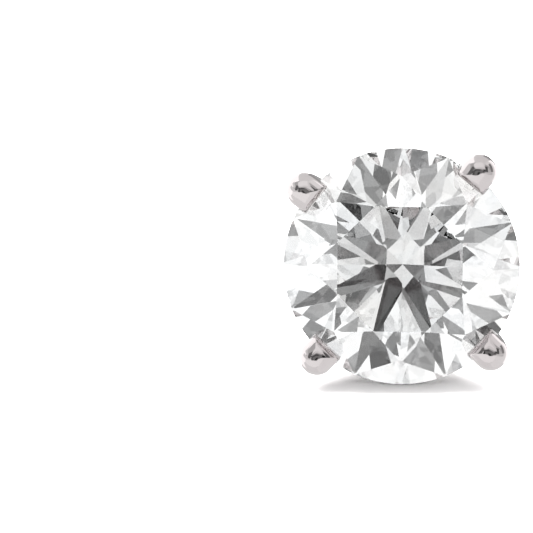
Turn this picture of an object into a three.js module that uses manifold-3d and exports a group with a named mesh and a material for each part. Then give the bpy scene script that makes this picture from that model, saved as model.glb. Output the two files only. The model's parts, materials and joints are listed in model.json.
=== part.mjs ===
// A stud earring: a round brilliant diamond in a four-claw white metal setting, with its ear post and
// its friction back. Millimetres, +Z up. It lies on a flat surface as it would by itself, table to -Y.
//
// The pieces are worked out in the head frame: +Z is the stone's axis towards the table, the girdle's
// middle is at height 0, and +Y is up as the jewel is worn. The last group turns that frame to rest.

import * as THREE from 'three';
import { mergeVertices } from 'three/addons/utils/BufferGeometryUtils.js';
import Module from 'manifold-3d';

const wasm = await Module();
wasm.setup();

// Stone
const STONE_DIAMETER = 6.5;
const TABLE_DIAMETER = 3.72; // from corner to corner
const GIRDLE_THICKNESS = 0.2;
const CROWN_ANGLE = 35.4; // degrees from the girdle plane
const PAVILION_ANGLE = 40.55; // degrees from the girdle plane
const STAR_LENGTH = 0.535; // share of the way from the table's edge to the girdle
const LOWER_HALF_LENGTH = 0.775; // share of the way from the girdle to the culet
const FOLDS = 8; // mains round the stone
const STONE_TURN = -1.15; // degrees that the stone sits turned in its claws
const GIRDLE_SIDES = 96;

// Claws, with their angles from +X as the photographed jewel has them
const CLAW_ANGLES = [50.6, 141.4, 227.0, 316.0];
const CLAW_WIDTH = 0.98;
const CLAW_OVERLAP = 0.29; // how far a tip reaches in over the girdle's edge
const CLAW_DEPTH = 0.93; // from the tip's straight inner edge to its round outer end
const CLAW_SHOULDER = 0.36; // height at which the rounding of the tip starts
const CLAW_TIP_HEIGHT = 0.9;
const DOME_FULLNESS = 2.3; // 2 is round, and more is flatter on top
const CLAW_FOOT_SCALE = 0.86; // section at the foot beside that at the tip
const SEAT_CLEARANCE = 0.04; // between the stone and its seat in the claws

// Gallery ring and base
const GALLERY_DEPTH = 1.9; // below the girdle's middle
const GALLERY_WIRE = 0.66;
const BASE_DIAMETER = 3.3;
const BASE_THICKNESS = 0.62;
const BASE_EDGE = 0.12; // chamfer
const CULET_CLEARANCE = 0.3; // between the stone's point and the base

// Ear post
const POST_DIAMETER = 0.82;
const POST_TAIL = 2.3; // behind the friction back
const POST_POINT = 0.2; // rounding of the free end
const NOTCH_FROM_END = 0.75;
const NOTCH_LENGTH = 0.45;
const NOTCH_DEPTH = 0.08;
const SOLDER_FILLET = 0.26;

// Friction back, one strip of sheet bent into two loops that grip the post
const LOBE_GAP = 5.0; // along the post, for the ear lobe
const BACK_SHEET = 0.32;
const BACK_LOOP_RADIUS = 0.8; // to the middle of the sheet
const BACK_LOOP_TURN = 282; // degrees
const BACK_HEIGHT = 3.6; // width of the strip at the post
const BACK_RIM_MARGIN = 0.08; // of the rounded rim beyond the loops
const BACK_RIM_FULLNESS = 2.5; // 2 is an ellipse, and more is squarer
const BACK_CLEARANCE = 0.05; // to the post

// Fineness of the round forms
const CLAW_ARC_SIDES = 9;
const DOME_STEPS = 6;
const RING_SIDES = 64;
const WIRE_SIDES = 10;
const POST_SIDES = 24;
const LOOP_SIDES = 22;
const RIM_SIDES = 48;

const stoneRadius = STONE_DIAMETER / 2;
const girdleHalf = GIRDLE_THICKNESS / 2;
const postRadius = POST_DIAMETER / 2;
const baseRadius = BASE_DIAMETER / 2;
const tan = (degrees) => Math.tan(THREE.MathUtils.degToRad(degrees));
const culetDepth = girdleHalf + stoneRadius * tan(PAVILION_ANGLE);
const baseTop = -(culetDepth + CULET_CLEARANCE);
const baseBottom = baseTop - BASE_THICKNESS;
const backFront = baseBottom - LOBE_GAP;
const backRear = backFront - 2 * BACK_LOOP_RADIUS - BACK_SHEET;
const postEnd = backRear - POST_TAIL;

// Point at a radius and an angle round the stone's axis.
function polar(radius, degrees, height) {
  const angle = THREE.MathUtils.degToRad(degrees);
  return new THREE.Vector3(radius * Math.cos(angle), radius * Math.sin(angle), height);
}

// Closed three.js geometry as a solid that can be joined and cut.
function solid(geometry) {
  const bare = geometry.clone();
  bare.deleteAttribute('normal');
  bare.deleteAttribute('uv');
  const merged = mergeVertices(bare, 1e-5);
  return new wasm.Manifold(new wasm.Mesh({
    numProp: 3,
    vertProperties: new Float32Array(merged.attributes.position.array),
    triVerts: new Uint32Array(merged.index.array),
  }));
}

function geometryOf(body) {
  const mesh = body.getMesh();
  const geometry = new THREE.BufferGeometry();
  geometry.setAttribute('position', new THREE.BufferAttribute(new Float32Array(mesh.vertProperties), 3));
  geometry.setIndex(new THREE.BufferAttribute(new Uint32Array(mesh.triVerts), 1));
  geometry.computeVertexNormals();
  return geometry;
}

// Closed skin over rings of points that run anticlockwise and are stacked upwards.
function loft(rings) {
  const count = rings[0].length;
  const index = [];
  for (let ring = 0; ring + 1 < rings.length; ring += 1) {
    for (let i = 0; i < count; i += 1) {
      const here = ring * count + i;
      const next = ring * count + ((i + 1) % count);
      index.push(here, next, next + count);
      index.push(here, next + count, here + count);
    }
  }
  const last = (rings.length - 1) * count;
  for (let i = 1; i + 1 < count; i += 1) {
    index.push(0, i + 1, i);
    index.push(last, last + i, last + i + 1);
  }
  const geometry = new THREE.BufferGeometry();
  geometry.setAttribute('position', new THREE.Float32BufferAttribute(rings.flat().flatMap((p) => p.toArray()), 3));
  geometry.setIndex(index);
  return geometry;
}

// Solid turned about the stone's axis, from points of radius and height.
function turned(points, sides) {
  const profile = points.map(([radius, height]) => new THREE.Vector2(radius, height));
  return new THREE.LatheGeometry(profile, sides).rotateX(Math.PI / 2);
}

// The planes that the facets are ground to, each with its normal pointing out of the stone.
function facetPlanes() {
  const step = 360 / FOLDS;
  const half = step / 2;
  const widen = Math.cos(THREE.MathUtils.degToRad(half));
  const cornerRadius = TABLE_DIAMETER / 2;
  const tableEdge = cornerRadius * widen;
  const starRadius = tableEdge + STAR_LENGTH * (stoneRadius - tableEdge);
  const lowerRadius = (1 - LOWER_HALF_LENGTH) * stoneRadius;
  const crown = (reach) => girdleHalf + (stoneRadius - reach) * tan(CROWN_ANGLE);
  const pavilion = (reach) => -girdleHalf - (stoneRadius - reach) * tan(PAVILION_ANGLE);
  const tableHeight = crown(cornerRadius);
  const facets = [[polar(1, 0, tableHeight), polar(1, 120, tableHeight), polar(1, 240, tableHeight)]];
  for (let fold = 0; fold < FOLDS; fold += 1) {
    const star = fold * step;
    const tip = polar(starRadius, star, crown(starRadius * widen));
    const foot = polar(lowerRadius, star, pavilion(lowerRadius * widen));
    const culet = new THREE.Vector3(0, 0, pavilion(0));
    const main = star + half;
    const nextTip = polar(starRadius, star + step, tip.z);
    const nextFoot = polar(lowerRadius, star + step, foot.z);
    facets.push([tip, polar(cornerRadius, star - half, tableHeight), polar(cornerRadius, main, tableHeight)]);
    facets.push([tip, nextTip, polar(stoneRadius, main, girdleHalf)]);
    facets.push([foot, nextFoot, culet]);
    for (const side of [-half, half]) {
      facets.push([tip, polar(stoneRadius, star, girdleHalf), polar(stoneRadius, star + side, girdleHalf)]);
      facets.push([foot, polar(stoneRadius, star, -girdleHalf), polar(stoneRadius, star + side, -girdleHalf)]);
    }
  }
  return facets.map(([a, b, c]) => {
    const plane = new THREE.Plane().setFromCoplanarPoints(a, b, c);
    return plane.constant > 0 ? plane.negate() : plane;
  });
}

// The cut stone, or with grow the room that it needs in its seat.
function brilliant(grow) {
  const span = 3 * stoneRadius;
  const radius = stoneRadius + grow;
  const blank = new THREE.CylinderGeometry(radius, radius, 2 * span, GIRDLE_SIDES).rotateX(Math.PI / 2);
  // A vertex of the round blank stands at +X, in line with a corner of the facets.
  let stone = solid(blank.rotateZ(Math.PI / 2));
  for (const plane of facetPlanes()) {
    const turn = new THREE.Quaternion().setFromUnitVectors(new THREE.Vector3(0, 0, 1), plane.normal);
    const waste = new THREE.BoxGeometry(2 * span, 2 * span, 2 * span).translate(0, 0, span);
    waste.applyQuaternion(turn);
    const offset = plane.normal.clone().multiplyScalar(grow - plane.constant);
    waste.translate(offset.x, offset.y, offset.z);
    stone = stone.subtract(solid(waste));
  }
  return stone.rotate([0, 0, STONE_TURN]);
}

// How a claw leans in from its shoulder to its foot: shares of the way down and of the way in.
const CLAW_LEAN = [
  { down: 1.0, inwards: 1.0 },
  { down: 0.27, inwards: 0.16 },
  { down: 0.13, inwards: 0.03 },
  { down: 0.0, inwards: 0.0 },
];
const clawTipInner = stoneRadius - CLAW_OVERLAP;
const clawTipOuter = clawTipInner + CLAW_DEPTH;
const clawFootHeight = (baseTop + baseBottom) / 2;
const clawFootOuter = baseRadius - BASE_EDGE;
const clawTravel = clawTipOuter - clawFootOuter;

// Radius of a claw's outer side at a height below the shoulder.
function clawOuterAt(height) {
  const down = (CLAW_SHOULDER - height) / (CLAW_SHOULDER - clawFootHeight);
  const upper = CLAW_LEAN.findLast((row) => row.down >= down);
  const lower = CLAW_LEAN.find((row) => row.down <= down);
  const way = upper === lower ? 0 : (down - lower.down) / (upper.down - lower.down);
  return clawTipOuter - clawTravel * (lower.inwards + way * (upper.inwards - lower.inwards));
}

// Section of a claw across its length: flat towards the stone and half round outside.
function clawSection(outer, scale, height) {
  const halfWidth = (CLAW_WIDTH / 2) * scale;
  const inner = outer - CLAW_DEPTH * scale;
  const centre = outer - halfWidth;
  const points = [new THREE.Vector3(inner, -halfWidth, height)];
  for (let i = 0; i <= CLAW_ARC_SIDES; i += 1) {
    const angle = Math.PI * (i / CLAW_ARC_SIDES - 0.5);
    points.push(new THREE.Vector3(centre + halfWidth * Math.cos(angle), halfWidth * Math.sin(angle), height));
  }
  points.push(new THREE.Vector3(inner, halfWidth, height));
  return points;
}

function claw(degrees) {
  const rings = CLAW_LEAN.map(({ down, inwards }) => clawSection(
    clawTipOuter - clawTravel * inwards,
    1 - (1 - CLAW_FOOT_SCALE) * down,
    CLAW_SHOULDER - (CLAW_SHOULDER - clawFootHeight) * down,
  ));
  for (let i = 1; i <= DOME_STEPS; i += 1) {
    const rise = (Math.PI / 2) * (i / (DOME_STEPS + 0.6));
    const scale = Math.cos(rise) ** (2 / DOME_FULLNESS);
    const climb = Math.sin(rise) ** (2 / DOME_FULLNESS);
    const outer = clawTipOuter - (CLAW_DEPTH / 2) * (1 - scale);
    rings.push(clawSection(outer, scale, CLAW_SHOULDER + (CLAW_TIP_HEIGHT - CLAW_SHOULDER) * climb));
  }
  return solid(loft(rings).rotateZ(THREE.MathUtils.degToRad(degrees)));
}

function galleryRing() {
  const wire = GALLERY_WIRE / 2;
  const centre = clawOuterAt(-GALLERY_DEPTH) - CLAW_DEPTH / 2;
  const profile = [];
  for (let i = 0; i <= WIRE_SIDES; i += 1) {
    const angle = (2 * Math.PI * (i % WIRE_SIDES)) / WIRE_SIDES;
    profile.push([centre + wire * Math.cos(angle), -GALLERY_DEPTH + wire * Math.sin(angle)]);
  }
  return solid(turned(profile, RING_SIDES));
}

function base() {
  return solid(turned([
    [0, baseBottom],
    [baseRadius - BASE_EDGE, baseBottom],
    [baseRadius, baseBottom + BASE_EDGE],
    [baseRadius, baseTop - BASE_EDGE],
    [baseRadius - BASE_EDGE, baseTop],
    [0, baseTop],
  ], RING_SIDES));
}

function earPost() {
  const notchRear = postEnd + NOTCH_FROM_END;
  const notchFront = notchRear + NOTCH_LENGTH;
  const root = (baseTop + baseBottom) / 2;
  return solid(turned([
    [0, postEnd],
    [postRadius - POST_POINT, postEnd],
    [postRadius - POST_POINT * 0.3, postEnd + POST_POINT * 0.4],
    [postRadius, postEnd + POST_POINT],
    [postRadius, notchRear],
    [postRadius - NOTCH_DEPTH, notchRear + NOTCH_DEPTH],
    [postRadius - NOTCH_DEPTH, notchFront - NOTCH_DEPTH],
    [postRadius, notchFront],
    [postRadius, baseBottom - SOLDER_FILLET],
    [postRadius + SOLDER_FILLET * 0.3, baseBottom - SOLDER_FILLET * 0.3],
    [postRadius + SOLDER_FILLET, baseBottom],
    [postRadius + SOLDER_FILLET, root],
    [0, root],
  ], POST_SIDES));
}

function clawSetting() {
  let body = base().add(earPost()).add(galleryRing());
  for (const degrees of CLAW_ANGLES) {
    body = body.add(claw(degrees));
  }
  return geometryOf(body.subtract(brilliant(SEAT_CLEARANCE)));
}

// Outline of the bent strip from above: out along the plate, round one loop, back, and the mirror of it.
function backOutline() {
  const loopX = postRadius + BACK_CLEARANCE + BACK_SHEET / 2 + BACK_LOOP_RADIUS;
  const loopZ = backFront - BACK_SHEET / 2 - BACK_LOOP_RADIUS;
  const loop = (radius) => {
    const points = [];
    for (let i = 0; i <= LOOP_SIDES; i += 1) {
      const angle = THREE.MathUtils.degToRad(90 - (BACK_LOOP_TURN * i) / LOOP_SIDES);
      points.push(new THREE.Vector2(loopX + radius * Math.cos(angle), loopZ + radius * Math.sin(angle)));
    }
    return points;
  };
  const right = [
    ...loop(BACK_LOOP_RADIUS + BACK_SHEET / 2),
    ...loop(BACK_LOOP_RADIUS - BACK_SHEET / 2).reverse(),
  ];
  const left = right.map((point) => new THREE.Vector2(-point.x, point.y)).reverse();
  return new THREE.Shape([...right, ...left]);
}

// The rounded outline that the back has as seen along the post.
function backRim() {
  const halfWidth = postRadius + BACK_CLEARANCE + BACK_SHEET + 2 * BACK_LOOP_RADIUS + BACK_RIM_MARGIN;
  const rounded = (value) => Math.sign(value) * Math.abs(value) ** (2 / BACK_RIM_FULLNESS);
  const points = [];
  for (let i = 0; i < RIM_SIDES; i += 1) {
    const angle = (2 * Math.PI * (i + 0.5)) / RIM_SIDES;
    const across = halfWidth * rounded(Math.cos(angle));
    points.push(new THREE.Vector2(across, (BACK_HEIGHT / 2) * rounded(Math.sin(angle))));
  }
  return new THREE.Shape(points);
}

function butterflyBack() {
  const strip = new THREE.ExtrudeGeometry(backOutline(), { depth: BACK_HEIGHT, bevelEnabled: false });
  // The outline's second axis becomes the stone's axis, and the strip's width runs up and down.
  strip.translate(0, 0, -BACK_HEIGHT / 2).rotateX(Math.PI / 2);
  const bore = postRadius + BACK_CLEARANCE;
  const hole = new THREE.CylinderGeometry(bore, bore, 4 * BACK_SHEET, POST_SIDES).rotateX(Math.PI / 2);
  hole.translate(0, 0, backFront - BACK_SHEET / 2);
  const depth = backFront - backRear + 2 * BACK_SHEET;
  const rim = new THREE.ExtrudeGeometry(backRim(), { depth, bevelEnabled: false });
  rim.translate(0, 0, backRear - BACK_SHEET);
  return geometryOf(solid(strip).intersect(solid(rim)).subtract(solid(hole)));
}

const diamondFinish = new THREE.MeshStandardMaterial({ color: 0xf3f6fa, roughness: 0.02, metalness: 0 });
const whiteMetal = new THREE.MeshStandardMaterial({ color: 0xd8d2d3, roughness: 0.12, metalness: 1 });

const head = new THREE.Group();
const pieces = [
  ['diamond', geometryOf(brilliant(0)), diamondFinish],
  ['claw_setting', clawSetting(), whiteMetal],
  ['butterfly_back', butterflyBack(), whiteMetal],
];
for (const [name, geometry, material] of pieces) {
  const piece = new THREE.Mesh(geometry, material);
  piece.name = name;
  head.add(piece);
}

// At rest the girdle's rear edge and the back's lowest points stand on the surface, so the post sinks a
// little from the stone to its end, and the table looks up by the same angle.
function restAngle(geometry) {
  const corners = geometry.attributes.position;
  let angle = Math.PI / 2;
  for (let i = 0; i < corners.count; i += 1) {
    angle = Math.min(angle, Math.atan2(stoneRadius + corners.getY(i), -corners.getZ(i) - girdleHalf));
  }
  return angle;
}
const backPiece = head.getObjectByName('butterfly_back');
head.rotation.x = Math.PI / 2 - restAngle(backPiece.geometry);

const earring = new THREE.Group();
earring.add(head);
earring.updateMatrixWorld(true);
const box = new THREE.Box3().setFromObject(earring, true);
head.position.set(-(box.min.x + box.max.x) / 2, -(box.min.y + box.max.y) / 2, -box.min.z);

export default earring;
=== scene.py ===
# %% [markdown]
# A diamond stud earring, dressed in Blender.
#
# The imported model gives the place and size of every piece. This lesson makes the fine surfaces on it:
# a round brilliant worked out by its cutting rule, four cast claws, a soldered basket and post, and the
# friction back behind. Shapes are drawn in the jeweller's way, in millimetres and looking down on the
# stone, and only turned to where the jewel rests when they are finished.

import json
import math

import bmesh
import bpy
from mathutils import Matrix, Vector


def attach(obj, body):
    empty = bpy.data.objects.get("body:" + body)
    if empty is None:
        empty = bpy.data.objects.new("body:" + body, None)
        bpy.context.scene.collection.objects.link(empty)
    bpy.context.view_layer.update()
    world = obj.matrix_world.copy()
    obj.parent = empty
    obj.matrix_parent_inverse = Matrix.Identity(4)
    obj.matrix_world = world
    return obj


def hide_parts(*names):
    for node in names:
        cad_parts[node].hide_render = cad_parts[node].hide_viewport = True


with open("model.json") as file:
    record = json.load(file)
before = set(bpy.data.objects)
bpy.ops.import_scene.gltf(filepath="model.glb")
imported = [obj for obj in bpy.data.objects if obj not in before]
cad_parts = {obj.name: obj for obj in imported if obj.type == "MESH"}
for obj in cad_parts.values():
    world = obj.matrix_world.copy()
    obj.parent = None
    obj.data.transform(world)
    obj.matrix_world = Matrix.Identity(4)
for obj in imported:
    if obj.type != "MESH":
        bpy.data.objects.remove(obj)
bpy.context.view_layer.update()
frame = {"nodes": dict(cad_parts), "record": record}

# %% [markdown]
# The head frame. A stone setter works with the stone's axis upright, table on top. On this jewel that
# axis lies almost level, because the stud rests on its girdle and on the rear edge of its back. The
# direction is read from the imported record, where the face behind the claws looks along the post, and
# the middle of the girdle is found from the culet, the rearmost point of the diamond.

# %% Head frame
MM = 0.001
STONE_DIAMETER = 6.5
TABLE_DIAMETER = 3.72
GIRDLE_THICKNESS = 0.2
CROWN_ANGLE = math.radians(35.4)
PAVILION_ANGLE = math.radians(40.55)
STAR_LENGTH = 0.535
LOWER_HALF_LENGTH = 0.775
STONE_TURN = math.radians(-1.15)

stone_radius = STONE_DIAMETER / 2
girdle_half = GIRDLE_THICKNESS / 2
culet_depth = girdle_half + stone_radius * math.tan(PAVILION_ANGLE)
mounts = {mount["name"]: mount for mount in frame["record"]["mounts"]}
front = -Vector(mounts["lobe_front_face"]["axis"]).normalized()
right = Vector((1, 0, 0))
up = front.cross(right)
culet = max((v.co for v in frame["nodes"]["diamond"].data.vertices), key=lambda co: -co.dot(front))
girdle_centre = culet + front * culet_depth * MM
head_to_row = Matrix((right, up, front)).transposed().to_4x4()
head_to_row = Matrix.Translation(girdle_centre) @ head_to_row @ Matrix.Scale(MM, 4)
rest_angle = math.asin(front.z)
print(f"the table looks up by {math.degrees(rest_angle):.2f} degrees; girdle centre {girdle_centre}")

# %% [markdown]
# The camera. The photograph looks almost straight down on the table. The pattern in the stone is not
# quite even, and it fits a look from a few degrees above its axis and to the right. Jewellery is shot
# from far away with a long lens, which keeps the outline free of perspective. The stone sits to the
# right of the picture's middle, and turning the camera a little puts it there.

# %% Camera
FRAME_PIXELS = 533
STONE_PIXELS = 236.8
STONE_CENTRE_PIXELS = (401.7, 266.0)
LENS_MM = 1200
SENSOR_MM = 36
CAMERA_ABOVE_AXIS = math.radians(5.0)
CAMERA_RIGHT_OF_AXIS = math.radians(2.5)

frame_width = STONE_DIAMETER * MM * FRAME_PIXELS / STONE_PIXELS
distance = frame_width * LENS_MM / SENSOR_MM
aside = (STONE_CENTRE_PIXELS[0] - FRAME_PIXELS / 2) / FRAME_PIXELS * frame_width
below = (STONE_CENTRE_PIXELS[1] - FRAME_PIXELS / 2) / FRAME_PIXELS * frame_width
camera_data = bpy.data.cameras.new("camera")
camera_data.lens = LENS_MM
camera_data.sensor_width = SENSOR_MM
camera_data.clip_start = 0.01
camera_data.clip_end = 20
camera = bpy.data.objects.new("camera", camera_data)
bpy.context.scene.collection.objects.link(camera)
from_stone = right * math.sin(CAMERA_RIGHT_OF_AXIS) + up * math.sin(CAMERA_ABOVE_AXIS)
to_camera = (from_stone + front * math.sqrt(1 - from_stone.length_squared)).normalized()
picture_up = to_camera.cross(right).normalized()
picture_right = picture_up.cross(to_camera)
camera.location = girdle_centre + to_camera * distance
target = girdle_centre - picture_right * aside + picture_up * below
backwards = (camera.location - target).normalized()
level = picture_up.cross(backwards).normalized()
camera.rotation_euler = Matrix((level, backwards.cross(level), backwards)).transposed().to_euler()
bpy.context.scene.camera = camera
print(f"camera {distance * 1000:.0f} mm from the stone, frame {frame_width * 1000:.2f} mm wide")
print(f"camera {math.degrees(math.asin(to_camera.z)):.1f} degrees above the floor's level")

# %% [markdown]
# The studio. A polished stone and polished metal show nothing of their own: they show the room. So the
# light is a white tent with grey cards round the lens. The tent is the world's colour, and each card is
# a plain sheet that only mirrors and glass can see, so the white floor stays evenly lit. A wide soft box
# overhead lifts the floor to clean white and leaves only a thin shadow under the stone. Mirrors and
# glass see neither of the two. The picture's gamma adds the contrast of a finished product photograph.

# %% White tent and floor
PICTURE_GAMMA = 0.74
scene = bpy.context.scene
scene.view_settings.view_transform = "Standard"
scene.view_settings.gamma = PICTURE_GAMMA
scene.cycles.max_bounces = 40
scene.cycles.transmission_bounces = 32
scene.cycles.glossy_bounces = 16
scene.cycles.transparent_max_bounces = 16
TENT_LIGHT = 1.4
FLOOR_WHITE = (0.93, 0.92, 0.92, 1)
FLOOR_ROUGH = 0.9
FLOOR_SIZE = 6.0
SOFT_BOX_SIZE = 1.5
SOFT_BOX_HEIGHT = 0.8
SOFT_BOX_BEHIND = 0.62
SOFT_BOX_WATTS = 60

world = bpy.data.worlds.new("tent")
scene.world = world
world.use_nodes = True
backdrop = world.node_tree.nodes["Background"]
backdrop.inputs["Color"].default_value = (1, 1, 1, 1)
backdrop.inputs["Strength"].default_value = TENT_LIGHT


def plain_material(name, colour, rough):
    """A simple painted surface for the studio."""
    material = bpy.data.materials.new(name)
    material.use_nodes = True
    shader = material.node_tree.nodes["Principled BSDF"]
    shader.inputs["Base Color"].default_value = colour
    shader.inputs["Roughness"].default_value = rough
    return material


def new_object(name, mesh):
    """Links a mesh to the scene under a name."""
    thing = bpy.data.objects.new(name, mesh)
    scene.collection.objects.link(thing)
    return thing


def sheet(name, width, height):
    """A flat rectangle in XY, facing +Z."""
    mesh = bpy.data.meshes.new(name)
    x, y = width / 2, height / 2
    mesh.from_pydata([(-x, -y, 0), (x, -y, 0), (x, y, 0), (-x, y, 0)], [], [(0, 1, 2, 3)])
    return new_object(name, mesh)


floor = sheet("floor", FLOOR_SIZE, FLOOR_SIZE)
floor.data.materials.append(plain_material("floor_paper", FLOOR_WHITE, FLOOR_ROUGH))
floor.visible_glossy = False
floor.visible_transmission = False

box_light = bpy.data.lights.new("soft_box", "AREA")
box_light.shape = "DISK"
box_light.size = SOFT_BOX_SIZE
box_light.energy = SOFT_BOX_WATTS
soft_box = bpy.data.objects.new("soft_box", box_light)
scene.collection.objects.link(soft_box)
soft_box.location = girdle_centre + SOFT_BOX_HEIGHT * Vector((0, 0, 1)) + SOFT_BOX_BEHIND * Vector((0, 1, 0))
soft_box.rotation_euler = (girdle_centre - soft_box.location).to_track_quat("-Z", "Y").to_euler()
for seen in ("visible_camera", "visible_glossy", "visible_transmission"):
    setattr(soft_box, seen, False)
print(f"tent {TENT_LIGHT}, soft box {SOFT_BOX_WATTS} W")

# %% [markdown]
# The cards. A brilliant shows a pattern of dark and light only when the room has one, so grey sheets
# hang round the lens as in a jeweller's light box, and paler ones stand in for walls and floor. Each row
# says where a sheet hangs as seen from the stone: the angle to the right of the lens and above it, its
# width and height in degrees, how far its right side is lifted, and how bright it looks. Later rows hang
# in front of earlier ones, and every sheet is bent so that all of it is equally far away. All are plain
# grey, so whatever colour shows in the jewel is its own. The rows were found by a numerical search for
# the room that such a stone would reflect towards the lens, so they suit this one view above all.

# %% Cards that only mirrors and glass see
CARD_DISTANCE = 0.9
CARD_SPACING = 0.004
CARD_CELLS = 24
CARDS = [
    {"name": "left_low_wall", "turn": -47, "rise": -7, "wide": 115, "high": 21, "lean": -24, "light": 0.924},
    {"name": "floor_near", "turn": 0, "rise": -82, "wide": 140, "high": 74, "lean": 0, "light": 0.997},
    {"name": "floor_far", "turn": -4, "rise": -34, "wide": 140, "high": 44, "lean": 4, "light": 1.13},
    {"name": "black_drape", "turn": -31, "rise": 53, "wide": 98, "high": 24, "lean": -117, "light": 0.02},
    {"name": "lens_wall", "turn": 10, "rise": 2, "wide": 76, "high": 30, "lean": 3, "light": 0.333},
    {"name": "upper_left_wall", "turn": -24, "rise": 31, "wide": 89, "high": 45, "lean": -5, "light": 0.667},
    {"name": "floor_rear", "turn": 164, "rise": -67, "wide": 121, "high": 84, "lean": 49, "light": 0.987},
    {"name": "ceiling", "turn": -100, "rise": 97, "wide": 134, "high": 62, "lean": 2, "light": 0.945},
    {"name": "right_low_wall", "turn": 76, "rise": -16, "wide": 138, "high": 99, "lean": 91, "light": 1.04},
    {"name": "upper_right_wall", "turn": 11, "rise": 34, "wide": 67, "high": 47, "lean": 0, "light": 0.961},
    {"name": "right_wall", "turn": 62, "rise": -2, "wide": 69, "high": 29, "lean": 0, "light": 0.78},
    {"name": "left_flag", "turn": -40, "rise": 10, "wide": 22, "high": 28, "lean": -9, "light": 0.27},
    {"name": "lens_slot", "turn": 1, "rise": 0, "wide": 67, "high": 4, "lean": -7, "light": 0.14},
    {"name": "left_strip", "turn": -73, "rise": 26, "wide": 45, "high": 13, "lean": -36, "light": 0.913},
    {"name": "front_light", "turn": -6, "rise": 39, "wide": 38, "high": 55, "lean": 99, "light": 1.078},
    {"name": "right_strip", "turn": 62, "rise": 24, "wide": 44, "high": 17, "lean": -32, "light": 0.64},
    {"name": "lens_haze", "turn": 16, "rise": -1, "wide": 32, "high": 10, "lean": 12, "light": 0.34},
    {"name": "right_slat", "turn": 47, "rise": -11, "wide": 81, "high": 4, "lean": 6, "light": 0.966},
    {"name": "dark_slat", "turn": 25, "rise": 2, "wide": 20, "high": 4, "lean": 27, "light": 0.03},
    {"name": "right_flag", "turn": 43, "rise": 12, "wide": 19, "high": 32, "lean": -5, "light": 0.22},
    {"name": "rear_grey", "turn": 161, "rise": 23, "wide": 21, "high": 49, "lean": 21, "light": 0.55},
    {"name": "side_flag", "turn": 91, "rise": 19, "wide": 23, "high": 39, "lean": 2, "light": 0.41},
    {"name": "left_stand", "turn": -22, "rise": -7, "wide": 4, "high": 13, "lean": 2, "light": 0.02},
    {"name": "lens", "turn": -5, "rise": -10, "wide": 5, "high": 5, "lean": 0, "light": 0.08},
]


def glow_material(name, light):
    """Plain grey light."""
    material = bpy.data.materials.new(name)
    material.use_nodes = True
    nodes = material.node_tree.nodes
    nodes.clear()
    glow = nodes.new("ShaderNodeEmission")
    glow.inputs["Color"].default_value = (light, light, light, 1)
    output = nodes.new("ShaderNodeOutputMaterial")
    material.node_tree.links.new(glow.outputs[0], output.inputs["Surface"])
    return material


def hang(thing, light):
    """Makes a sheet glow for mirrors and glass alone."""
    thing.data.materials.append(glow_material(thing.name, light))
    thing.visible_camera = False
    thing.visible_diffuse = False
    thing.visible_shadow = False


def bent_sheet(name, outwards, lean, wide, high, distance):
    """A sheet bent round the stone. Its sides are straight as seen from there."""
    upwards = (picture_up - outwards * picture_up.dot(outwards)).normalized()
    sideways = upwards.cross(outwards)
    side = sideways * math.cos(lean) + upwards * math.sin(lean)
    top = upwards * math.cos(lean) - sideways * math.sin(lean)
    grid = bmesh.new()
    bmesh.ops.create_grid(grid, x_segments=CARD_CELLS, y_segments=CARD_CELLS, size=1)
    for corner in grid.verts:
        x = corner.co.x * math.tan(wide / 2)
        y = corner.co.y * math.tan(high / 2)
        corner.co = (outwards + side * x + top * y).normalized() * distance
    mesh = bpy.data.meshes.new(name)
    grid.to_mesh(mesh)
    grid.free()
    return new_object(name, mesh)


def card(layer, name, turn, rise, wide, high, lean, light):
    """Hangs one card."""
    turn, rise, wide, high, lean = (math.radians(angle) for angle in (turn, rise, wide, high, lean))
    level = picture_right * math.sin(turn) + to_camera * math.cos(turn)
    outwards = level * math.cos(rise) + picture_up * math.sin(rise)
    distance = CARD_DISTANCE - layer * CARD_SPACING
    thing = bent_sheet(name, outwards, lean, wide, high, distance)
    thing.location = girdle_centre
    hang(thing, light)


for layer, row in enumerate(CARDS):
    card(layer, **row)
print(f"studio: {len(CARDS)} cards at {CARD_DISTANCE} m")

# %% [markdown]
# The finishes. Diamond is clear glass with a very high refractive index, and its look comes from true
# facets. The crystal has faint zones of warmer and cooler clarity, and its girdle stays frosted with
# small grains, as the bruting wheel leaves it. The white metal is polished: its shine drifts a little,
# and hair-fine buffing lines soften the reflections.

# %% Finishes
DIAMOND_IOR = 2.417
CLEAR_TINTS = ((0.975, 0.99, 1.0, 1), (1.0, 0.998, 0.985, 1))
CLEAR_ZONE_SCALE = 600
GIRDLE_TINTS = ((0.86, 0.88, 0.90, 1), (0.98, 0.98, 0.97, 1))
GIRDLE_GRAIN_SCALE = 16000
GIRDLE_ROUGH = (0.2, 0.45)
METAL_TINTS = ((0.68, 0.645, 0.647, 1), (0.72, 0.69, 0.69, 1))
METAL_ROUGH = (0.03, 0.09)
METAL_CLOUD_SCALE = 900
BUFFING_SCALE = (500, 5000, 11000)
BUFFING_DEPTH = 0.0000004
BUFFING_STRENGTH = 0.25
NUMBER_SPREAD = (0.35, 0.65)
TINT_SPREAD = (0.38, 0.62)


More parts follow.
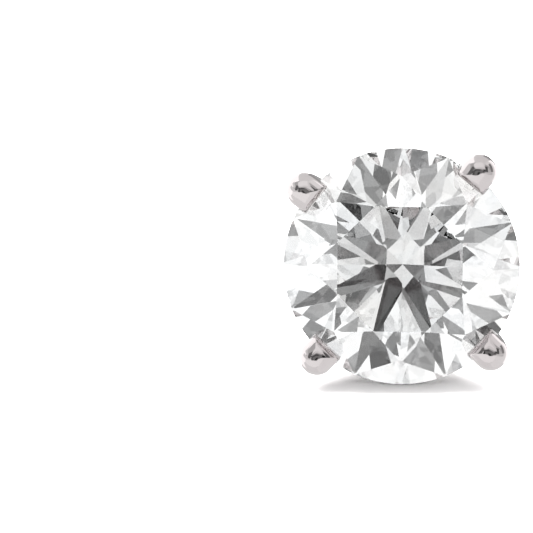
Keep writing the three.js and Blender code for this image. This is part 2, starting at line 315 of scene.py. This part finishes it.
class Finish:
    """A procedural material, with noise placed by object coordinates."""

    def __init__(self, name):
        self.material = bpy.data.materials.new(name)
        self.material.use_nodes = True
        self.nodes = self.material.node_tree.nodes
        self.link = self.material.node_tree.links.new
        self.shader = self.nodes["Principled BSDF"]
        self.place = self.nodes.new("ShaderNodeTexCoord").outputs["Object"]

    def noise(self, scale, detail=2, stretch=None):
        """A noise value. stretch is a scale for each axis."""
        place = self.place
        if stretch:
            mapping = self.nodes.new("ShaderNodeMapping")
            mapping.inputs["Scale"].default_value = stretch
            self.link(place, mapping.inputs["Vector"])
            place = mapping.outputs[0]
        noise = self.nodes.new("ShaderNodeTexNoise")
        noise.inputs["Scale"].default_value = scale
        noise.inputs["Detail"].default_value = detail
        self.link(place, noise.inputs["Vector"])
        return noise.outputs[0]

    def between(self, value, low, high, label):
        """Feeds a shader input with a number that follows a noise."""
        spread = self.nodes.new("ShaderNodeMapRange")
        spread.inputs["From Min"].default_value = NUMBER_SPREAD[0]
        spread.inputs["From Max"].default_value = NUMBER_SPREAD[1]
        spread.inputs["To Min"].default_value = low
        spread.inputs["To Max"].default_value = high
        self.link(value, spread.inputs["Value"])
        self.link(spread.outputs[0], self.shader.inputs[label])

    def tinted(self, value, first, second):
        """Feeds the base colour with a blend that follows a noise."""
        ramp = self.nodes.new("ShaderNodeValToRGB")
        for element, colour, position in zip(ramp.color_ramp.elements, (first, second), TINT_SPREAD):
            element.color = colour
            element.position = position
        self.link(value, ramp.inputs["Fac"])
        self.link(ramp.outputs["Color"], self.shader.inputs["Base Color"])

    def relief(self, value, strength, depth):
        """Raises and lowers the surface a little."""
        bump = self.nodes.new("ShaderNodeBump")
        bump.inputs["Strength"].default_value = strength
        bump.inputs["Distance"].default_value = depth
        self.link(value, bump.inputs["Height"])
        self.link(bump.outputs[0], self.shader.inputs["Normal"])


def crystal(name):
    """Clear crystal that bends light as diamond does."""
    finish = Finish(name)
    finish.shader.inputs["IOR"].default_value = DIAMOND_IOR
    finish.shader.inputs["Transmission Weight"].default_value = 1
    return finish


def polished_crystal():
    """The facets."""
    finish = crystal("diamond_polished")
    finish.shader.inputs["Roughness"].default_value = 0
    finish.tinted(finish.noise(CLEAR_ZONE_SCALE), *CLEAR_TINTS)
    return finish.material


def bruted_crystal():
    """The girdle."""
    finish = crystal("diamond_bruted")
    grain = finish.noise(GIRDLE_GRAIN_SCALE)
    finish.between(grain, *GIRDLE_ROUGH, "Roughness")
    finish.tinted(grain, *GIRDLE_TINTS)
    return finish.material


def polished_metal():
    """White gold."""
    finish = Finish("white_gold_polish")
    finish.shader.inputs["Metallic"].default_value = 1
    cloud = finish.noise(METAL_CLOUD_SCALE, detail=3)
    finish.between(cloud, *METAL_ROUGH, "Roughness")
    finish.tinted(cloud, *METAL_TINTS)
    finish.relief(finish.noise(1, stretch=BUFFING_SCALE), BUFFING_STRENGTH, BUFFING_DEPTH)
    return finish.material


diamond_clear = polished_crystal()
diamond_girdle = bruted_crystal()
white_gold = polished_metal()
print("finishes:", [m.name for m in (diamond_clear, diamond_girdle, white_gold)])

# %% [markdown]
# Tools for Geometry Nodes. A tree is easier to read when a formula takes one line, so two small helpers
# add a node and wire its inputs. The last one runs a finished tree and keeps only the plain mesh.

# %% Geometry Nodes helpers


class Tree:
    """A Geometry Nodes tree with named sizes."""

    def __init__(self, name, sizes):
        self.group = bpy.data.node_groups.new(name, "GeometryNodeTree")
        self.group.interface.new_socket("Geometry", in_out="INPUT", socket_type="NodeSocketGeometry")
        self.group.interface.new_socket("Geometry", in_out="OUTPUT", socket_type="NodeSocketGeometry")
        for label in sizes:
            self.group.interface.new_socket(label, in_out="INPUT", socket_type="NodeSocketFloat")
        self.start = self.group.nodes.new("NodeGroupInput")
        self.sizes = {label: self.start.outputs[label] for label in sizes}

    def wire(self, socket, value):
        """Feeds a socket from another socket, or sets it to a plain value."""
        if isinstance(value, bpy.types.NodeSocket):
            self.group.links.new(value, socket)
        else:
            socket.default_value = value

    def node(self, kind, settings=None, **inputs):
        """Adds a node. Names of inputs are written with _ for a space."""
        node = self.group.nodes.new(kind)
        for setting, value in (settings or {}).items():
            setattr(node, setting, value)
        for label, value in inputs.items():
            self.wire(node.inputs[label.replace("_", " ")], value)
        return node

    def calc(self, operation, *values):
        """One Math node, such as calc("ADD", a, 2)."""
        node = self.group.nodes.new("ShaderNodeMath")
        node.operation = operation
        for socket, value in zip(node.inputs, values):
            self.wire(socket, value)
        return node.outputs[0]

    def join(self, *parts):
        """Joins geometry sockets."""
        node = self.group.nodes.new("GeometryNodeJoinGeometry")
        for part in reversed(parts):
            self.group.links.new(part, node.inputs[0])
        return node.outputs[0]

    def finish(self, geometry, material):
        """Ends the tree in Realize Instances and Set Material."""
        real = self.node("GeometryNodeRealizeInstances", Geometry=geometry)
        dressed = self.node("GeometryNodeSetMaterial", Geometry=real.outputs[0], Material=material)
        end = self.group.nodes.new("NodeGroupOutput")
        self.group.links.new(dressed.outputs[0], end.inputs[0])


def run_tree(tree, name, values, start_mesh=None):
    """Runs a tree on a mesh with its sizes and returns the plain mesh that it makes."""
    mesh = start_mesh or bpy.data.meshes.new(name + "_start")
    carrier = new_object(name + "_carrier", mesh)
    modifier = carrier.modifiers.new("nodes", "NODES")
    modifier.node_group = tree.group
    for item in tree.group.interface.items_tree:
        if item.item_type == "SOCKET" and item.in_out == "INPUT" and item.name in values:
            modifier[item.identifier] = values[item.name]
    graph = bpy.context.evaluated_depsgraph_get()
    result = bpy.data.meshes.new_from_object(carrier.evaluated_get(graph))
    carrier.modifiers.remove(modifier)
    bpy.data.objects.remove(carrier)
    result.name = name
    return result


# %% [markdown]
# The diamond. A round brilliant follows a strict rule: a table, eight stars, eight kites and sixteen
# upper halves on the crown, and sixteen lower halves and eight mains below the girdle. The facets are
# flat, so the corners say everything: the tree works out rings of corners and wraps a convex hull
# round them. The girdle's edge is scalloped, because a flat facet cuts a round rim in a shallow arc.

# %% Brilliant tree
FOLDS = 8
GIRDLE_POINTS = 96
GIRDLE_FLATNESS = 0.25


def brilliant_tree(clear, frosted):
    """The cutting rule of a round brilliant as a tree. Lengths are in millimetres."""
    labels = ["Diameter", "Table", "Girdle", "Crown angle", "Pavilion angle", "Star", "Lower half"]
    tree = Tree("round_brilliant", labels)
    calc = tree.calc
    size = tree.sizes
    half_step = math.pi / FOLDS
    narrow = math.cos(half_step)
    radius = calc("MULTIPLY", size["Diameter"], 0.5)
    rim = calc("MULTIPLY", size["Girdle"], 0.5)
    crown_slope = calc("TANGENT", size["Crown angle"])
    pavilion_slope = calc("TANGENT", size["Pavilion angle"])

    def drop(reach, slope):
        """Height of a kite or a main above or below the girdle's edge at a radius on its middle line."""
        return calc("MULTIPLY_ADD", calc("SUBTRACT", radius, reach), slope, rim)

    corner = calc("MULTIPLY", size["Table"], 0.5)
    table_edge = calc("MULTIPLY", corner, narrow)
    star = calc("MULTIPLY_ADD", calc("SUBTRACT", radius, table_edge), size["Star"], table_edge)
    foot = calc("MULTIPLY", radius, calc("SUBTRACT", 1.0, size["Lower half"]))
    star_height = drop(calc("MULTIPLY", star, narrow), crown_slope)
    foot_depth = drop(calc("MULTIPLY", foot, narrow), pavilion_slope)
    tip_depth = drop(0.0, pavilion_slope)

    def corners(reach, height, turn):
        """A ring of facet corners."""
        circle = tree.node("GeometryNodeMeshCircle", Vertices=FOLDS, Radius=reach)
        shift = tree.node("ShaderNodeCombineXYZ", Z=height)
        placed = tree.node(
            "GeometryNodeTransform",
            Geometry=circle.outputs[0],
            Translation=shift.outputs[0],
            Rotation=(0, 0, turn),
        )
        return placed.outputs[0]

    def girdle_edge(sign, inner, inner_height):
        """The scalloped edge where the halves meet the round girdle."""
        circle = tree.node("GeometryNodeMeshCircle", Vertices=GIRDLE_POINTS, Radius=radius)
        place = tree.node("GeometryNodeInputPosition")
        parts = tree.node("ShaderNodeSeparateXYZ", Vector=place.outputs[0])
        angle = calc("ARCTAN2", parts.outputs["Y"], parts.outputs["X"])
        in_facet = calc("SUBTRACT", calc("WRAP", angle, half_step, 0.0), half_step / 2)
        bulge = calc("SUBTRACT", calc("COSINE", in_facet), math.cos(half_step / 2))
        rise = calc("SUBTRACT", inner_height, rim)
        run = calc("MULTIPLY", calc("SUBTRACT", radius, inner), math.cos(half_step / 2))
        fall = calc("MULTIPLY", calc("MULTIPLY", bulge, radius), calc("DIVIDE", rise, run))
        height = calc("MULTIPLY", calc("SUBTRACT", rim, fall), sign)
        offset = tree.node("ShaderNodeCombineXYZ", Z=height)
        moved = tree.node("GeometryNodeSetPosition", Geometry=circle.outputs[0], Offset=offset.outputs[0])
        return moved.outputs[0]

    cloud = tree.join(
        corners(corner, drop(corner, crown_slope), half_step),
        corners(star, star_height, 0.0),
        girdle_edge(1.0, star, star_height),
        girdle_edge(-1.0, foot, foot_depth),
        corners(foot, calc("MULTIPLY", foot_depth, -1.0), 0.0),
        corners(0.0, calc("MULTIPLY", tip_depth, -1.0), 0.0),
    )
    hull = tree.node("GeometryNodeConvexHull", Geometry=cloud)
    normal = tree.node("GeometryNodeInputNormal")
    lean = tree.node("ShaderNodeSeparateXYZ", Vector=normal.outputs[0])
    upright = calc("LESS_THAN", calc("ABSOLUTE", lean.outputs["Z"]), GIRDLE_FLATNESS)
    real = tree.node("GeometryNodeRealizeInstances", Geometry=hull.outputs[0])
    polished = tree.node("GeometryNodeSetMaterial", Geometry=real.outputs[0], Material=clear)
    bruted = tree.node(
        "GeometryNodeSetMaterial", Geometry=polished.outputs[0], Selection=upright, Material=frosted
    )
    end = tree.group.nodes.new("NodeGroupOutput")
    tree.group.links.new(bruted.outputs[0], end.inputs[0])
    return tree


# %% Cut the stone
brilliant = brilliant_tree(diamond_clear, diamond_girdle)
stone_sizes = {
    "Diameter": STONE_DIAMETER,
    "Table": TABLE_DIAMETER,
    "Girdle": GIRDLE_THICKNESS,
    "Crown angle": CROWN_ANGLE,
    "Pavilion angle": PAVILION_ANGLE,
    "Star": STAR_LENGTH,
    "Lower half": LOWER_HALF_LENGTH,
}
stone_mesh = run_tree(brilliant, "brilliant_diamond", stone_sizes)
stone_mesh.transform(Matrix.Rotation(STONE_TURN, 4, "Z"))


def volume_of(mesh):
    """Volume inside a closed mesh, in its own unit cubed."""
    shape = bmesh.new()
    shape.from_mesh(mesh)
    volume = shape.calc_volume(signed=True)
    shape.free()
    return volume


print(f"stone: {len(stone_mesh.vertices)} corners, {len(stone_mesh.polygons)} faces")
print(f"stone: {volume_of(stone_mesh):.3f} mm3")

# %% [markdown]
# One claw. It is a cast wire, flat towards the stone and half round outside, that leans out from the
# base, stands up past the girdle and ends in a rounded bead over the crown. A loft of sections gives a
# smooth skin for the polish to show: each section is a ring worked out by angle, so all of them have
# the same number of points and join without twisting. The bead is steeper on the side of the stone.

# %% Loft one claw
CLAW_ANGLES = [50.6, 141.4, 227.0, 316.0]
CLAW_WIDTH = 0.98
CLAW_OVERLAP = 0.29
CLAW_DEPTH = 0.93
CLAW_SHOULDER = 0.36
CLAW_TIP_HEIGHT = 0.9
DOME_FULLNESS = 2.3
DOME_FULLNESS_INSIDE = 3.2
CLAW_FOOT_SCALE = 0.86
CLAW_AROUND = 96
CLAW_SHANK_STEPS = 40
CLAW_DOME_STEPS = 36
DOME_OPEN_STEP = 0.25
CORNER_CRISPNESS = 40
LEAN_SAMPLES = 9
LEAN_EASING = 0.05
CULET_CLEARANCE = 0.3
BASE_DIAMETER = 3.3
BASE_THICKNESS = 0.62
BASE_EDGE = 0.12

base_top = -(culet_depth + CULET_CLEARANCE)
base_bottom = base_top - BASE_THICKNESS
claw_tip_outer = stone_radius - CLAW_OVERLAP + CLAW_DEPTH
claw_foot_outer = BASE_DIAMETER / 2 - BASE_EDGE
claw_foot_height = (base_top + base_bottom) / 2
CLAW_LEAN = [
    {"down": 0.0, "inwards": 0.0},
    {"down": 0.13, "inwards": 0.03},
    {"down": 0.27, "inwards": 0.16},
    {"down": 1.0, "inwards": 1.0},
]


def claw_lean(down):
    """How far in the claw has leaned at a share of the way down: straight below, eased at the girdle."""
    for upper, lower in zip(CLAW_LEAN, CLAW_LEAN[1:]):
        if down <= lower["down"]:
            way = (down - upper["down"]) / (lower["down"] - upper["down"])
            return upper["inwards"] + way * (lower["inwards"] - upper["inwards"])
    return 1.0


def eased_lean(down):
    """The same lean averaged over a short stretch, which rounds its bends."""
    steps = LEAN_SAMPLES
    spread = [down + LEAN_EASING * (2 * i / (steps - 1) - 1) for i in range(steps)]
    return sum(claw_lean(max(0.0, min(1.0, s))) for s in spread) / steps


def claw_reach(angle, half_depth, half_width, crispness):
    """Distance from the middle of a claw's section to its outline, at an angle from outwards."""
    toward, across = math.cos(angle), abs(math.sin(angle))
    centre = half_depth - half_width
    root = math.sqrt(max(half_width**2 - (centre * across) ** 2, 0))
    round_side = centre * toward + root
    if round_side * toward < centre:
        round_side = half_width / max(across, 1e-6)
    if toward >= 0:
        return round_side
    flat_side = -half_depth / toward
    return (round_side**-crispness + flat_side**-crispness) ** (-1 / crispness)


def claw_ring(outer, scale, inside, height, softness):
    """One section of a claw as a ring of points. softness turns it from the cast shape to an oval, and
    inside is the scale of the half that faces the stone."""
    half_depth = CLAW_DEPTH / 2
    half_width = CLAW_WIDTH / 2
    middle = outer - half_depth * scale
    points = []
    for i in range(CLAW_AROUND):
        angle = 2 * math.pi * i / CLAW_AROUND
        cast = claw_reach(angle, half_depth, half_width, CORNER_CRISPNESS)
        oval = 1 / math.hypot(math.cos(angle) / half_depth, math.sin(angle) / half_width)
        reach = cast + softness * (oval - cast)
        inwards = scale if math.cos(angle) > 0 else inside
        points.append(Vector((
            middle + reach * math.cos(angle) * inwards,
            reach * math.sin(angle) * scale,
            height,
        )))
    return points


def loft(name, rings):
    """A closed skin over rings of the same count, stacked upwards and anticlockwise."""
    shape = bmesh.new()
    rows = [[shape.verts.new(point) for point in ring] for ring in rings]
    count = len(rings[0])
    for below_row, above_row in zip(rows, rows[1:]):
        for i in range(count):
            j = (i + 1) % count
            shape.faces.new((below_row[i], below_row[j], above_row[j], above_row[i]))
    shape.faces.new(list(reversed(rows[0])))
    shape.faces.new(rows[-1])
    mesh = bpy.data.meshes.new(name)
    shape.to_mesh(mesh)
    shape.free()
    return mesh


def claw_mesh():
    """The whole claw at angle 0, pointing outwards along +X."""
    rings = []
    for i in range(CLAW_SHANK_STEPS + 1):
        down = 1 - i / CLAW_SHANK_STEPS
        outer = claw_tip_outer - (claw_tip_outer - claw_foot_outer) * eased_lean(down)
        height = CLAW_SHOULDER - (CLAW_SHOULDER - claw_foot_height) * down
        scale = 1 - (1 - CLAW_FOOT_SCALE) * down
        rings.append(claw_ring(outer, scale, scale, height, 0))
    for i in range(1, CLAW_DOME_STEPS + 1):
        rise = math.pi / 2 * i / (CLAW_DOME_STEPS + DOME_OPEN_STEP)
        scale = math.cos(rise) ** (2 / DOME_FULLNESS)
        climb = math.sin(rise) ** (2 / DOME_FULLNESS)
        outer = claw_tip_outer - CLAW_DEPTH / 2 * (1 - scale)
        height = CLAW_SHOULDER + (CLAW_TIP_HEIGHT - CLAW_SHOULDER) * climb
        inside = (1 - climb**DOME_FULLNESS_INSIDE) ** (1 / DOME_FULLNESS_INSIDE)
        rings.append(claw_ring(outer, scale, inside, height, 1 - scale))
    return loft("claw", rings)


claw = new_object("claw_pattern", claw_mesh())
print(f"claw: {len(claw.data.polygons)} faces, {volume_of(claw.data):.3f} mm3")

# %% [markdown]
# Four claws round the stone. The claws are alike, so a tree stands one on each of four points and turns
# it to the angle stored there. The angles are not quite even on the real jewel. The tree then cuts the
# seat: it takes the stone, a hair larger, out of the claws, and leaves the crisp edge on the crown.

# %% Claw tree
SEAT_GROWTH = 1.004


def claw_tree(pattern, stone, material):
    """Claws on points, each turned by the attribute "turn", with the stone's seat cut out."""
    tree = Tree("four_claws", ["Seat growth"])
    one = tree.node("GeometryNodeObjectInfo", Object=pattern)
    turn = tree.node("GeometryNodeInputNamedAttribute", Name="turn")
    spin = tree.node("ShaderNodeCombineXYZ", Z=turn.outputs["Attribute"])
    rotation = tree.node("FunctionNodeEulerToRotation", Euler=spin.outputs[0])
    placed = tree.node(
        "GeometryNodeInstanceOnPoints",
        Points=tree.start.outputs["Geometry"],
        Instance=one.outputs["Geometry"],
        Rotation=rotation.outputs[0],
    )
    claws = tree.node("GeometryNodeRealizeInstances", Geometry=placed.outputs[0])
    gem = tree.node("GeometryNodeObjectInfo", Object=stone)
    growth = tree.sizes["Seat growth"]
    evenly = tree.node("ShaderNodeCombineXYZ", X=growth, Y=growth, Z=growth)
    grown = tree.node(
        "GeometryNodeTransform", Geometry=gem.outputs["Geometry"], Scale=evenly.outputs[0]
    )
    cut = tree.node("GeometryNodeMeshBoolean", {"operation": "DIFFERENCE", "solver": "EXACT"})
    tree.group.links.new(claws.outputs[0], cut.inputs[0])
    tree.group.links.new(grown.outputs[0], cut.inputs[1])
    tree.finish(cut.outputs[0], material)
    return tree


# %% Stand the claws
points = bpy.data.meshes.new("claw_points")
points.from_pydata([(0, 0, 0)] * len(CLAW_ANGLES), [], [])
turns = points.attributes.new("turn", "FLOAT", "POINT")
for item, degrees in zip(turns.data, CLAW_ANGLES):
    item.value = math.radians(degrees)
stone_pattern = new_object("stone_pattern", stone_mesh.copy())
seat_sizes = {"Seat growth": SEAT_GROWTH}
claws_mesh = run_tree(claw_tree(claw, stone_pattern, white_gold), "claws", seat_sizes, points)
bpy.data.objects.remove(claw)
bpy.data.objects.remove(stone_pattern)
print(f"claws: {len(claws_mesh.polygons)} faces, {volume_of(claws_mesh):.3f} mm3")

# %% [markdown]
# Turned parts. The gallery ring, the base and the post are round, and a jeweller makes them from wire
# and sheet. Each is a profile turned about the stone's axis. Real edges are never sharp, so a helper
# first rounds the profile's corners with short arcs.

# %% Turned parts
GALLERY_DEPTH = 1.9
GALLERY_WIRE = 0.66
POST_DIAMETER = 0.82
POST_TAIL = 2.3
POST_POINT = 0.2
NOTCH_FROM_END = 0.75
NOTCH_LENGTH = 0.45
NOTCH_DEPTH = 0.08
SOLDER_FILLET = 0.26
LOBE_GAP = 5.0
BACK_SHEET = 0.32
BACK_LOOP_RADIUS = 0.8
BACK_LOOP_TURN = 282
BACK_HEIGHT = 3.6
BACK_RIM_MARGIN = 0.08
BACK_RIM_FULLNESS = 2.5
BACK_CLEARANCE = 0.05
TURNED_SIDES = 96
WIRE_SIDES = 32
BASE_ROUNDING = 0.08
POST_ROUNDING = 0.06
CORNER_SHARE = 0.45

post_radius = POST_DIAMETER / 2
base_radius = BASE_DIAMETER / 2
back_front = base_bottom - LOBE_GAP
back_rear = back_front - 2 * BACK_LOOP_RADIUS - BACK_SHEET
post_end = back_rear - POST_TAIL


def rounded(profile, radius, steps=4):
    """The same profile with each inner corner replaced by a short arc."""
    points = [Vector(profile[0])]
    for before, here, after in zip(profile, profile[1:], profile[2:]):
        here = Vector(here)
        back, ahead = Vector(before) - here, Vector(after) - here
        cut = min(radius, back.length * CORNER_SHARE, ahead.length * CORNER_SHARE)
        start, end = here + back.normalized() * cut, here + ahead.normalized() * cut
        for i in range(steps + 1):
            t = i / steps
            points.append(start * (1 - t) ** 2 + here * 2 * t * (1 - t) + end * t**2)
    points.append(Vector(profile[-1]))
    return points


def turned(name, profile, closed=False):
    """A profile of radius and height, turned about the stone's axis. It ends on the axis or closes."""
    shape = bmesh.new()
    rows = []
    for radius, height in profile:
        if radius < 1e-6:
            rows.append([shape.verts.new((0, 0, height))])
            continue
        ring = []
        for i in range(TURNED_SIDES):
            angle = 2 * math.pi * i / TURNED_SIDES
            ring.append(shape.verts.new((radius * math.cos(angle), radius * math.sin(angle), height)))
        rows.append(ring)
    pairs = list(zip(rows, rows[1:]))
    if closed:
        pairs.append((rows[-1], rows[0]))
    for low, high in pairs:
        for i in range(TURNED_SIDES):
            j = (i + 1) % TURNED_SIDES
            if len(low) == 1:
                shape.faces.new((low[0], high[j], high[i]))
            elif len(high) == 1:
                shape.faces.new((low[i], low[j], high[0]))
            else:
                shape.faces.new((low[i], low[j], high[j], high[i]))
    bmesh.ops.recalc_face_normals(shape, faces=shape.faces)
    mesh = bpy.data.meshes.new(name)
    shape.to_mesh(mesh)
    shape.free()
    return mesh


def ring_mesh():
    """The gallery wire that ties the claws together."""
    drop = (CLAW_SHOULDER + GALLERY_DEPTH) / (CLAW_SHOULDER - claw_foot_height)
    outer = claw_tip_outer - (claw_tip_outer - claw_foot_outer) * claw_lean(drop)
    middle = outer - CLAW_DEPTH / 2
    wire = GALLERY_WIRE / 2
    profile = []
    for i in range(WIRE_SIDES):
        angle = 2 * math.pi * i / WIRE_SIDES
        profile.append((middle + wire * math.cos(angle), -GALLERY_DEPTH + wire * math.sin(angle)))
    return turned("gallery_ring", profile, closed=True)


def base_mesh():
    """The base disc that the claws stand in."""
    return turned("base_disc", rounded([
        (0, base_bottom),
        (base_radius - BASE_EDGE, base_bottom),
        (base_radius, base_bottom + BASE_EDGE),
        (base_radius, base_top - BASE_EDGE),
        (base_radius - BASE_EDGE, base_top),
        (0, base_top),
    ], BASE_ROUNDING))


def post_mesh():
    """The ear post with its solder fillet, its notch for the back and its rounded end."""
    notch_rear = post_end + NOTCH_FROM_END
    notch_front = notch_rear + NOTCH_LENGTH
    groove = post_radius - NOTCH_DEPTH
    fillet = [
        (post_radius + SOLDER_FILLET * (1 - math.sin(a)), base_bottom - SOLDER_FILLET * (1 - math.cos(a)))
        for a in (math.radians(90 - 15 * i) for i in range(7))
    ]
    return turned("ear_post", rounded([
        (0, post_end),
        (post_radius - POST_POINT, post_end),
        (post_radius, post_end + POST_POINT),
        (post_radius, notch_rear),
        (groove, notch_rear + NOTCH_DEPTH),
        (groove, notch_front - NOTCH_DEPTH),
        (post_radius, notch_front),
        *fillet,
        (post_radius + SOLDER_FILLET, claw_foot_height),
        (0, claw_foot_height),
    ], POST_ROUNDING))


basket_parts = [claws_mesh, ring_mesh(), base_mesh(), post_mesh()]
print("turned:", [(m.name, len(m.polygons), round(volume_of(m), 2)) for m in basket_parts])

# %% [markdown]
# The friction back. It is one strip of sheet: a plate that touches the ear, bent round at both ends
# into loops that spring against the post. The strip's edge line is drawn once and given its width. The
# strip is trimmed to a rounded rim, so that it hides behind the stone and nothing sharp is left, then
# the hole is drilled and the edges are eased, as tumbling does to the real thing.

# %% Friction back
LOOP_STEPS = 56
RIM_STEPS = 120
BACK_EDGE_ROUNDING = 0.07
BACK_EDGE_STEPS = 3
BACK_EDGE_ANGLE = math.radians(40)


def back_outline():
    """The strip seen from above, anticlockwise: round one loop outside, back inside, and mirrored."""
    loop_x = post_radius + BACK_CLEARANCE + BACK_SHEET / 2 + BACK_LOOP_RADIUS
    loop_z = back_front - BACK_SHEET / 2 - BACK_LOOP_RADIUS

    def loop(radius):
        points = []
        for i in range(LOOP_STEPS + 1):
            angle = math.radians(90 - BACK_LOOP_TURN * i / LOOP_STEPS)
            points.append((loop_x + radius * math.cos(angle), loop_z + radius * math.sin(angle)))
        return points

    outside = loop(BACK_LOOP_RADIUS + BACK_SHEET / 2)
    inside = loop(BACK_LOOP_RADIUS - BACK_SHEET / 2)
    right_half = outside + inside[::-1]
    return right_half + [(-x, z) for x, z in reversed(right_half)]


def prism(name, low_points, high_points):
    """A closed body between two outlines of the same count."""
    shape = bmesh.new()
    low = [shape.verts.new(point) for point in low_points]
    high = [shape.verts.new(point) for point in high_points]
    count = len(low)
    for i in range(count):
        j = (i + 1) % count
        shape.faces.new((low[i], low[j], high[j], high[i]))
    shape.faces.new(low)
    shape.faces.new(high[::-1])
    bmesh.ops.recalc_face_normals(shape, faces=shape.faces)
    mesh = bpy.data.meshes.new(name)
    shape.to_mesh(mesh)
    shape.free()
    return new_object(name, mesh)


def back_rim():
    """The rounded outline of the back as seen along the post."""
    half_width = post_radius + BACK_CLEARANCE + BACK_SHEET + 2 * BACK_LOOP_RADIUS + BACK_RIM_MARGIN
    points = []
    for i in range(RIM_STEPS):
        angle = 2 * math.pi * (i + 0.5) / RIM_STEPS
        across, tall = (
            math.copysign(abs(part) ** (2 / BACK_RIM_FULLNESS), part)
            for part in (math.cos(angle), math.sin(angle))
        )
        points.append((half_width * across, BACK_HEIGHT / 2 * tall))
    return points


def back_mesh():
    """The strip with its width, its rounded rim, its drilled hole and its eased edges."""
    outline = back_outline()
    half = BACK_HEIGHT / 2
    strip = prism("strip", [(x, -half, z) for x, z in outline], [(x, half, z) for x, z in outline])
    rim_points = back_rim()
    behind, before = back_rear - BACK_SHEET, back_front + BACK_SHEET
    rim = prism("rim", [(x, y, behind) for x, y in rim_points], [(x, y, before) for x, y in rim_points])
    bore = post_radius + BACK_CLEARANCE
    drill = new_object("drill", turned("drill", [
        (0, back_front - 2 * BACK_SHEET),
        (bore, back_front - 2 * BACK_SHEET),
        (bore, back_front + BACK_SHEET),
        (0, back_front + BACK_SHEET),
    ]))
    trim = strip.modifiers.new("trim", "BOOLEAN")
    trim.operation = "INTERSECT"
    trim.object = rim
    trim.solver = "EXACT"
    hole = strip.modifiers.new("hole", "BOOLEAN")
    hole.object = drill
    hole.solver = "EXACT"
    ease = strip.modifiers.new("ease", "BEVEL")
    ease.width = BACK_EDGE_ROUNDING
    ease.segments = BACK_EDGE_STEPS
    ease.limit_method = "ANGLE"
    ease.angle_limit = BACK_EDGE_ANGLE
    graph = bpy.context.evaluated_depsgraph_get()
    result = bpy.data.meshes.new_from_object(strip.evaluated_get(graph))
    strip.modifiers.clear()
    for helper in (strip, rim, drill):
        bpy.data.objects.remove(helper)
    return result


friction_back_mesh = back_mesh()
print(f"back: {len(friction_back_mesh.polygons)} faces, {volume_of(friction_back_mesh):.2f} mm3")

# %% [markdown]
# Put the jewel together. Soldered metal is one body, so the claws, ring, base and post share one mesh.
# They run into each other there, and their hidden ends are not cut away. Then every mesh is turned from
# the head frame to where the jewel rests. The diamond's facets stay flat, and the metal is shaded smooth
# except across its real edges.

# %% Place and name the pieces
SMOOTH_LIMIT = math.radians(34)


def joined(name, meshes):
    """Several meshes as one."""
    shape = bmesh.new()
    for mesh in meshes:
        shape.from_mesh(mesh)
    mesh = bpy.data.meshes.new(name)
    shape.to_mesh(mesh)
    shape.free()
    return mesh


def metal_piece(name, mesh):
    """Places a metal mesh in the row frame, smooth where it is round."""
    mesh.transform(head_to_row)
    mesh.materials.clear()
    mesh.materials.append(white_gold)
    for polygon in mesh.polygons:
        polygon.material_index = 0
    mesh.shade_smooth()
    mesh.set_sharp_from_angle(angle=SMOOTH_LIMIT)
    return new_object(name, mesh)


setting = metal_piece("setting", joined("setting", basket_parts))
back = metal_piece("friction_back", friction_back_mesh)
stone_mesh.transform(head_to_row)
stone_mesh.shade_flat()
stone = new_object("brilliant_diamond", stone_mesh)

for piece, node, slot in (
    (stone, "diamond", "diamond"),
    (setting, "claw_setting", "white_metal"),
    (back, "butterfly_back", "white_metal"),
):
    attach(piece, "root")
    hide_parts(node)
print("pieces:", stone.name, setting.name, back.name)
